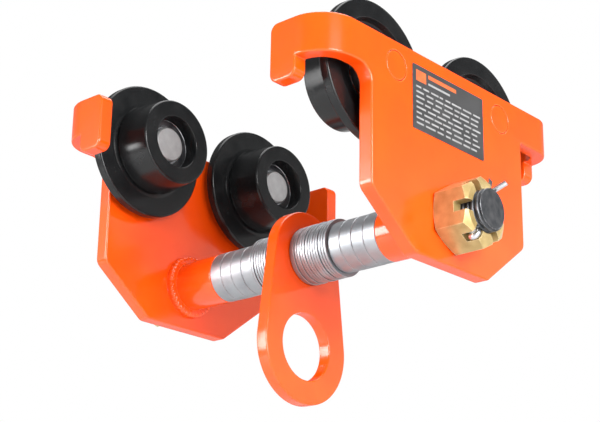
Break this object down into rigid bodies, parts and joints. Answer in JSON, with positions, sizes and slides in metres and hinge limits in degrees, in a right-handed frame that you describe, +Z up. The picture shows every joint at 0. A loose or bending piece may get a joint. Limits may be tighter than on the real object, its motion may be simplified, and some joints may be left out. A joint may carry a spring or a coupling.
{
  "type": "beam trolley",
  "caption": "Push trolley for an I-beam: flanged wheels on two bent side plates, joined by a spacer-set shaft with a hanging load plate.",
  "frame": {"origin": "midway between the four wheels, at the height where their treads run on the beam's lower flange", "axes": "+X along the shaft, across the beam, towards the plate with the label; +Y along the beam; +Z up"},
  "size_m": [0.2762, 0.2136, 0.2066],
  "materials": {
    "orange_paint": "glossy orange powder coat",
    "wheel_black": "semi-gloss black on turned steel",
    "bare_steel": "matt turned steel",
    "zinc": "bright zinc plate",
    "yellow_zinc": "yellow passivated zinc",
    "black_oxide": "black oxide, oiled",
    "pin_steel": "zinc-plated wire",
    "bearing_steel": "ground bearing steel",
    "spring_steel": "phosphated spring steel",
    "cage_brass": "pressed brass",
    "label_grey": "dark grey laminated label"
  },
  "bodies": {
    "frame": {"side_plate_left": "orange_paint", "side_plate_right": "orange_paint", "sleeve_left": "orange_paint", "sleeve_right": "orange_paint", "weld_bead_left": "orange_paint", "weld_bead_right": "orange_paint", "suspension_shaft": "black_oxide", "castle_nut_left": "yellow_zinc", "castle_nut_right": "yellow_zinc", "split_pin_left": "pin_steel", "split_pin_right": "pin_steel", "thick_spacers_left": "zinc", "thick_spacers_right": "zinc", "thin_washers_left": "zinc", "thin_washers_right": "zinc", "rating_label": "label_grey", "axle_left_front": "bare_steel", "bush_left_front": "zinc", "inner_ring_left_front": "bearing_steel", "axle_left_rear": "bare_steel", "bush_left_rear": "zinc", "inner_ring_left_rear": "bearing_steel", "axle_right_front": "bare_steel", "bush_right_front": "zinc", "inner_ring_right_front": "bearing_steel", "axle_right_rear": "bare_steel", "bush_right_rear": "zinc", "inner_ring_right_rear": "bearing_steel"},
    "load_plate": {"load_plate": "orange_paint"},
    "wheel_left_front": {"wheel_left_front": "wheel_black", "outer_ring_left_front": "bearing_steel", "shields_left_front": "black_oxide", "circlip_left_front": "spring_steel"},
    "balls_left_front": {"balls_left_front": "bearing_steel", "cage_left_front": "cage_brass"},
    "wheel_left_rear": {"wheel_left_rear": "wheel_black", "outer_ring_left_rear": "bearing_steel", "shields_left_rear": "black_oxide", "circlip_left_rear": "spring_steel"},
    "balls_left_rear": {"balls_left_rear": "bearing_steel", "cage_left_rear": "cage_brass"},
    "wheel_right_front": {"wheel_right_front": "wheel_black", "outer_ring_right_front": "bearing_steel", "shields_right_front": "black_oxide", "circlip_right_front": "spring_steel"},
    "balls_right_front": {"balls_right_front": "bearing_steel", "cage_right_front": "cage_brass"},
    "wheel_right_rear": {"wheel_right_rear": "wheel_black", "outer_ring_right_rear": "bearing_steel", "shields_right_rear": "black_oxide", "circlip_right_rear": "spring_steel"},
    "balls_right_rear": {"balls_right_rear": "bearing_steel", "cage_right_rear": "cage_brass"}
  },
  "joints": [
    {"name": "load_plate_swing", "type": "hinge", "parent": "frame", "child": "load_plate", "pos_m": [-0.002, 0, -0.0482], "axis": [1, 0, 0], "range_deg": [-85, 85]},
    {"name": "wheel_left_front_spin", "type": "hinge", "parent": "frame", "child": "wheel_left_front", "pos_m": [-0.0789, -0.0487, 0.0275], "axis": [1, 0, 0], "continuous": true},
    {"name": "balls_left_front_orbit", "type": "hinge", "parent": "frame", "child": "balls_left_front", "pos_m": [-0.0789, -0.0487, 0.0275], "axis": [1, 0, 0], "continuous": true},
    {"name": "wheel_left_rear_spin", "type": "hinge", "parent": "frame", "child": "wheel_left_rear", "pos_m": [-0.0789, 0.0487, 0.0275], "axis": [1, 0, 0], "continuous": true},
    {"name": "balls_left_rear_orbit", "type": "hinge", "parent": "frame", "child": "balls_left_rear", "pos_m": [-0.0789, 0.0487, 0.0275], "axis": [1, 0, 0], "continuous": true},
    {"name": "wheel_right_front_spin", "type": "hinge", "parent": "frame", "child": "wheel_right_front", "pos_m": [0.0789, -0.0487, 0.0275], "axis": [1, 0, 0], "continuous": true},
    {"name": "balls_right_front_orbit", "type": "hinge", "parent": "frame", "child": "balls_right_front", "pos_m": [0.0789, -0.0487, 0.0275], "axis": [1, 0, 0], "continuous": true},
    {"name": "wheel_right_rear_spin", "type": "hinge", "parent": "frame", "child": "wheel_right_rear", "pos_m": [0.0789, 0.0487, 0.0275], "axis": [1, 0, 0], "continuous": true},
    {"name": "balls_right_rear_orbit", "type": "hinge", "parent": "frame", "child": "balls_right_rear", "pos_m": [0.0789, 0.0487, 0.0275], "axis": [1, 0, 0], "continuous": true}
  ],
  "couplings": [
    {"joint": "balls_left_front_orbit", "follows": "wheel_left_front_spin", "ratio": 0.616},
    {"joint": "balls_left_rear_orbit", "follows": "wheel_left_rear_spin", "ratio": 0.616},
    {"joint": "balls_right_front_orbit", "follows": "wheel_right_front_spin", "ratio": 0.616},
    {"joint": "balls_right_rear_orbit", "follows": "wheel_right_rear_spin", "ratio": 0.616}
  ]
}
